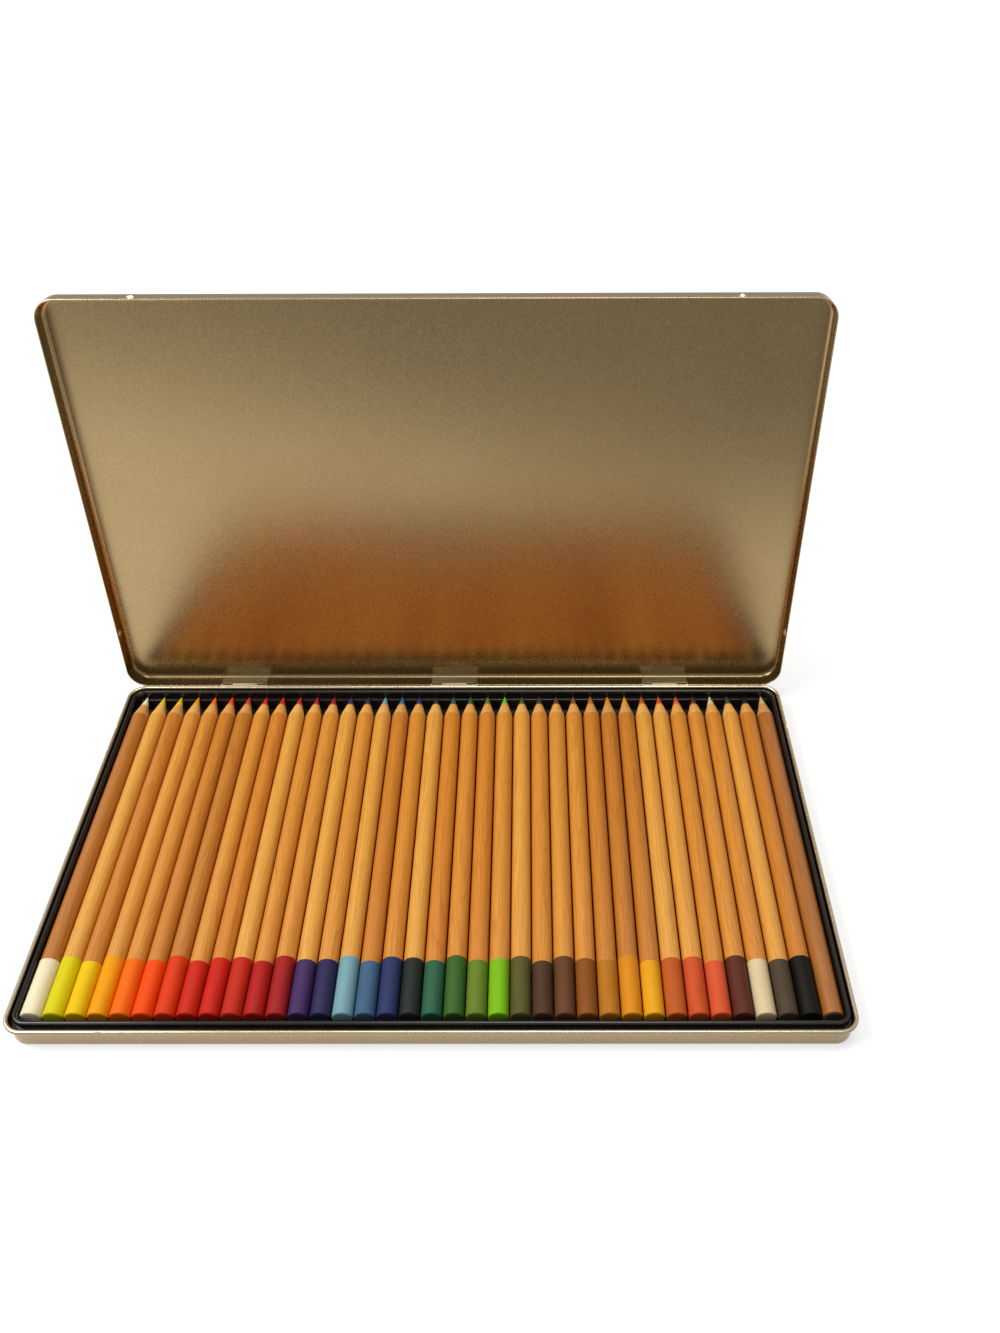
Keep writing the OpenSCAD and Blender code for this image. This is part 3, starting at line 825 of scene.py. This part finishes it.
def make_lid(material):
    """Panel, wall, folded hem, snap dimples and hinge slots, drawn shut and then opened."""
    lid_top = lid_edge_z + lid_depth + sheet
    bend_z = lid_top - lid_bend_r
    bend = (-lid_bend_r, bend_z)
    fold_r = (sheet + hem_flap) / 2
    hem_top = lid_edge_z + hem_height
    dimple_z = lid_edge_z + dimple_up
    slot_top = lid_edge_z + slot_rise
    plate_edge = -lid_bend_r - lid_margin
    # Rows of points that the dimples need, kept clear of the hem's edge inside the wall
    levels = spaced(dimple_z - dimple_reach, dimple_z + dimple_reach, dimple_rows)
    above_hem = [up for up in reversed(levels) if up > hem_top + hem_edge_r]
    below_hem = [up for up in reversed(levels) if up < hem_top - 1.5 * hem_edge_r]
    hem_corner = (-2 * fold_r + hem_edge_r, hem_top - hem_edge_r)

    section = [(plate_edge, lid_top - sheet)]
    section += arc(bend, lid_bend_r - sheet, 90, 0, steps=8)
    section += [(-sheet, up) for up in above_hem]
    section += [(-sheet, hem_top + hem_step)]
    section += arc(hem_corner, hem_edge_r, 90, 180, steps=3)
    section += [(-2 * fold_r, up) for up in below_hem]
    section += arc((-fold_r, lid_edge_z + fold_r), fold_r, 180, 360, steps=8)
    section += [(0, up) for up in levels]
    section += arc(bend, lid_bend_r, 0, 90, steps=8)
    section += [(plate_edge, lid_top)]

    def press(station, out, up):
        if station.cut and up < slot_top:
            return max(out, -sheet), slot_top
        push = dimple_push(station, up, dimple_z)
        if push and up < bend_z:
            inner = out < -sheet / 2
            out = min(out, -sheet - push) if inner else min(out, -push)
        return out, up

    stops = dimple_stops(dimple_reach, dimple_columns)
    stops["rear"] = []
    for hinge in (-1, 0, 1):
        low, high = hinge * hinge_pitch - slot_w / 2, hinge * hinge_pitch + slot_w / 2
        stops["rear"] += [(low - slot_end, False), (low, True), (high, True), (high + slot_end, False)]
    stations = stations_round(wall_x + lid_off, wall_y + lid_off, wall_corner_r + lid_off, stops)
    mesh = mesh_of("lid_shell", swept(section, stations, press))
    mesh.transform(opened_lid)
    place_piece("lid_shell", mesh, material, "lid", slot_of["lid_tin"], "lid_tin")


# The tray. Its well is the space inside the bead, and its skirt hangs down outside


def tray_pan():
    """Well floor, wall, bead and skirt, in one section."""
    half_l = well_l / 2 + bead_w
    middle_y = tray_high.y - half_l
    bead_r = bead_w / 2
    bead_centre = (-bead_r, tray_high.z - bead_r)
    skirt_low = tray_high.z - skirt_height
    plate_edge = -bead_w - tray_margin
    wall_in, floor_under = tray_t - bead_w, floor_top - tray_t
    fillet = (-bead_w - well_fillet, floor_top + well_fillet)
    section = [(plate_edge, floor_top)]
    section += arc(fillet, well_fillet, -90, 0, steps=4)
    section += arc(bead_centre, bead_r, 180, 0, steps=16)
    section += [(0, skirt_low + skirt_edge), (-skirt_edge, skirt_low)]
    section += [(skirt_edge - tray_t, skirt_low), (-tray_t, skirt_low + skirt_edge)]
    section += arc(bead_centre, bead_r - tray_t, 0, 180, steps=6)
    section += [(wall_in, floor_under + skirt_edge), (wall_in - skirt_edge, floor_under)]
    section += [(plate_edge, floor_under)]
    return swept(section, stations_round(tray_high.x, half_l, tray_r, {}, middle_y))


def tray_ledge():
    """Ledge under the points, with its slope down to the floor."""
    tip_slope = (barrel_r - point_r) / cone_length
    ledge_z = axis_z - point_r - tip_slope * (ledge_depth - tip_gap) - groove_gap
    front = well_rear - ledge_depth
    steep = math.degrees(math.atan2(ledge_z - floor_top, ledge_run))
    edge = (front + ledge_edge_r * math.tan(math.radians(steep / 2)), ledge_z - ledge_edge_r)
    outline = [(front - ledge_run, floor_top - sink), (front - ledge_run, floor_top)]
    outline += arc(edge, ledge_edge_r, 90 + steep, 90, steps=6)
    outline += [(well_rear + sink, ledge_z), (well_rear + sink, floor_top - sink)]
    points = [(side * (well_x + sink), y, z) for side in (-1, 1) for y, z in outline]
    count = len(outline)
    faces = [(k, (k + 1) % count, (k + 1) % count + count, k + count) for k in range(count)]
    return points, faces + [list(range(count)), list(range(2 * count - 1, count - 1, -1))]


def gutter_lip():
    """Lip over the gutter, between the bead and the front wall."""
    gutter_z = tray_high.z - gutter_drop
    corner_x = tray_high.x - tray_r

    def line(back):
        corner_y = tray_low.y + tray_r + back
        return (arc((-corner_x, corner_y), tray_r, 180, 270, steps=12)
                + arc((corner_x, corner_y), tray_r, 270, 360, steps=12))

    outer, inner = line(0), line(gutter_w + sink)
    heights = (gutter_z, gutter_z - tray_t)
    points = [(x, y, z) for edge in (outer, inner) for z in heights for x, y in edge]
    n = len(outer)
    # The number of the first point in each of the four rows
    outer_top, outer_foot, inner_top, inner_foot = 0, n, 2 * n, 3 * n
    ring = (outer_top, outer_foot, inner_foot, inner_top)
    strips = list(zip(ring, ring[1:] + ring[:1]))
    faces = [(a + k, a + k + 1, b + k + 1, b + k) for a, b in strips for k in range(n - 1)]
    faces += [ring, tuple(start + n - 1 for start in reversed(ring))]
    return points, faces


def make_tray(material):
    """The moulding with its grooved cross ribs, which a node tree makes."""
    columns_each, row_w = 12, 0.4 * mm
    ribs = [(well_rear - back, rib_w) for back in rear_ribs]
    ribs += [(well_rear - wide_rib_back, wide_rib), (well_rear - well_l / 2 + middle_rib_ahead, rib_w)]
    ribs += [(well_rear - well_l + ahead, rib_w) for ahead in front_ribs]
    mesh = mesh_of("tray_shell", tray_pan(), tray_ledge(), gutter_lip())
    tree = make_rib_tree()
    work = bmesh.new()
    work.from_mesh(mesh)
    for middle, width in ribs:
        rib = grown(tree, {
            "Length": 2 * (well_x + sink), "Width": width, "Middle": middle, "Foot": floor_top - sink,
            "Top": axis_z - groove_r + rib_rise, "Pitch": pencil_pitch, "Groove radius": groove_r,
            "Axis height": axis_z, "Edge": rib_edge, "Columns": columns_each * len(pencil_nodes) + 1,
            "Rows": round(width / row_w) + 1, "Material": material,
        })
        work.from_mesh(rib)
    work.to_mesh(mesh)
    work.free()
    smooth(mesh)
    place_piece("tray_shell", mesh, material, "tray", slot_of["pencil_tray"], "pencil_tray")


# The pencils


def make_pencils():
    """A wooden case, a core and a dipped coat for every pencil."""
    tree = make_pencil_tree()
    wood = cedar()
    for number, node in enumerate(pencil_nodes):
        body = "_".join(node.split("_")[:2])
        word = node.split("_", 2)[2]
        colour, lean = pencil_colours.get(word, bare_pencil)
        bare = word not in pencil_colours
        low, high = pencil_boxes[number]
        sizes = {
            "Place across": pencil_xs[number], "Butt": butt_y, "Axis height": (low.z + high.z) / 2,
            "Barrel radius": barrel_r, "Core radius": core_r, "Point radius": point_r,
            "Length": pencil_length, "Cone length": cone_length, "Coat": coat_t, "End coat": end_coat,
            "Edge": end_edge, "Tone": lean, "Number": number, "Sides": pencil_sides,
            "Dip length": mean_dip + dip_spread * math.sin(math.radians(dip_turn * number)),
        }
        pieces = {
            "case": (wood, {"Piece": 0}),
            "core": (pencil_core(f"{word}_core", bare_core if bare else colour), {"Piece": 1}),
            "dip": (dipped_paint(f"{word}_coat", colour), {"Piece": 2}),
        }
        if bare:
            # The colourless pencil's dip is only a disc on the end of its case
            pieces["dip"][1].update({
                "Barrel radius": barrel_r - end_edge, "Coat": 0.0, "Edge": bare_edge,
                "Dip length": end_coat})
        for part, (material, changes) in pieces.items():
            mesh = grown(tree, {**sizes, **changes, "Material": material})
            smooth(mesh, 30)
            slot = "cedar_case" if part == "case" else slot_of[node]
            place_piece(f"{body}_{part}", mesh, None, body, slot, *([node] if part == "case" else []))


def dress_hinges():
    """The hinge leaves and wires keep their own solids and get their metal."""
    plate = hinge_steel("hinge_plate", tone(166, 148, 114), 0.3)
    wire = hinge_steel("hinge_wire", tone(170, 150, 120), 0.25)
    for node, piece in frame["nodes"].items():
        if "hinge" in node:
            piece.data.materials.clear()
            piece.data.materials.append(wire if "wire" in node else plate)


# The studio


def make_floor():
    """Pale floor that keeps the shadow, and that shows nearly white to the camera and in the tin."""
    floor = Finish("studio_floor")
    path = floor.add("ShaderNodeLightPath").outputs
    spot = floor.split(floor.place)
    ahead = floor.math("SUBTRACT", floor.math("MULTIPLY", spot["X"], 0.55), spot["Y"])
    fade = floor.spread(ahead, (fade_from, fade_to), (1.0, faded))
    share = floor.math("MULTIPLY_ADD", floor.math("SUBTRACT", fade, 1.0), path["Is Glossy Ray"], 1.0)
    mottle = floor.ramp(floor.noise(floor.place, scale=3, detail=3),
                        (0.3, (0.50, 0.50, 0.50)), (0.7, (0.52, 0.52, 0.52)))
    matt = floor.add("ShaderNodeBsdfDiffuse", {"Color": floor.mix(share, black, mottle)})
    direct = floor.math("MAXIMUM", path["Is Camera Ray"], path["Is Glossy Ray"])
    seen = floor.math("MAXIMUM", direct, path["Is Transmission Ray"])
    distance = floor.vector("LENGTH", floor.place, result="Value")
    plain = floor.spread(distance, (glow_from, glow_to), (least_glow, 1.0))
    strength = floor.math("MULTIPLY", floor.math("MULTIPLY", seen, plain), share)
    glow = floor.add("ShaderNodeEmission", {"Color": white, "Strength": strength})
    both = floor.add("ShaderNodeAddShader", {0: matt.outputs[0], 1: glow.outputs[0]})
    floor.tree.links.new(both.outputs[0], floor.tree.nodes["Material Output"].inputs["Surface"])
    corners = [(x * floor_reach, y * floor_reach, 0) for x, y in ((-1, -1), (1, -1), (1, 1), (-1, 1))]
    mesh = bpy.data.meshes.new("floor")
    mesh.from_pydata(corners, [], [(0, 1, 2, 3)])
    mesh.materials.append(floor.material)
    ground = bpy.data.objects.new("floor", mesh)
    bpy.context.scene.collection.objects.link(ground)


def make_sky():
    """Soft light from all round, under a sky that the camera sees as plain white."""
    world = bpy.data.worlds.new("studio")
    bpy.context.scene.world = world
    world.use_nodes = True
    sky = Graph(world.node_tree)
    path = sky.add("ShaderNodeLightPath").outputs
    seen = sky.math("MAXIMUM", path["Is Camera Ray"], path["Is Transmission Ray"])
    plain = sky.math("MULTIPLY_ADD", path["Is Glossy Ray"], sky_gloss - sky_light, sky_light)
    background = world.node_tree.nodes["Background"]
    background.inputs["Color"].default_value = white
    sky.feed(background.inputs["Strength"], sky.math("MAXIMUM", seen, plain))


def add_lamp(name, place, size, power):
    """A soft rectangular lamp that points at the tin."""
    lamp = bpy.data.lights.new(name, "AREA")
    lamp.shape = "RECTANGLE"
    lamp.size, lamp.size_y = size
    lamp.energy = power
    lamp.color = lamp_tint
    holder = bpy.data.objects.new(name, lamp)
    holder.location = place
    holder.rotation_euler = (-holder.location).to_track_quat("-Z", "Y").to_euler()
    bpy.context.scene.collection.objects.link(holder)


def make_camera():
    """Camera at the photograph's place, looking down over the pencils."""
    camera = bpy.data.cameras.new("camera")
    camera.sensor_width = 36
    camera.lens = camera_lens
    camera.shift_x, camera.shift_y = camera_shift
    camera.clip_start = 0.01
    holder = bpy.data.objects.new("camera", camera)
    turn = Matrix.Rotation(heading, 4, "Z") @ Matrix.Rotation(math.pi / 2 - look_down, 4, "X")
    holder.matrix_world = Matrix.Translation(camera_place) @ turn @ Matrix.Rotation(camera_roll, 4, "Z")
    bpy.context.scene.collection.objects.link(holder)
    bpy.context.scene.camera = holder
    bpy.context.scene.view_settings.view_transform = "Standard"


make_camera()
make_floor()
make_sky()
for name, lamp in lamps.items():
    add_lamp(name, **lamp)
# The base's rim gets a painted highlight; the lid gets painted highlights on hem and dimples, and painted shade
# inside
make_base(satin_tinplate("satin_tinplate", tone(162, 140, 100), 0.26, rim_highlight))
make_lid(satin_tinplate("lid_tinplate", tone(172, 146, 99), 0.27, hem_and_dimple_highlights, lid_inner_shade))
make_tray(tray_plastic())
make_pencils()
dress_hinges()
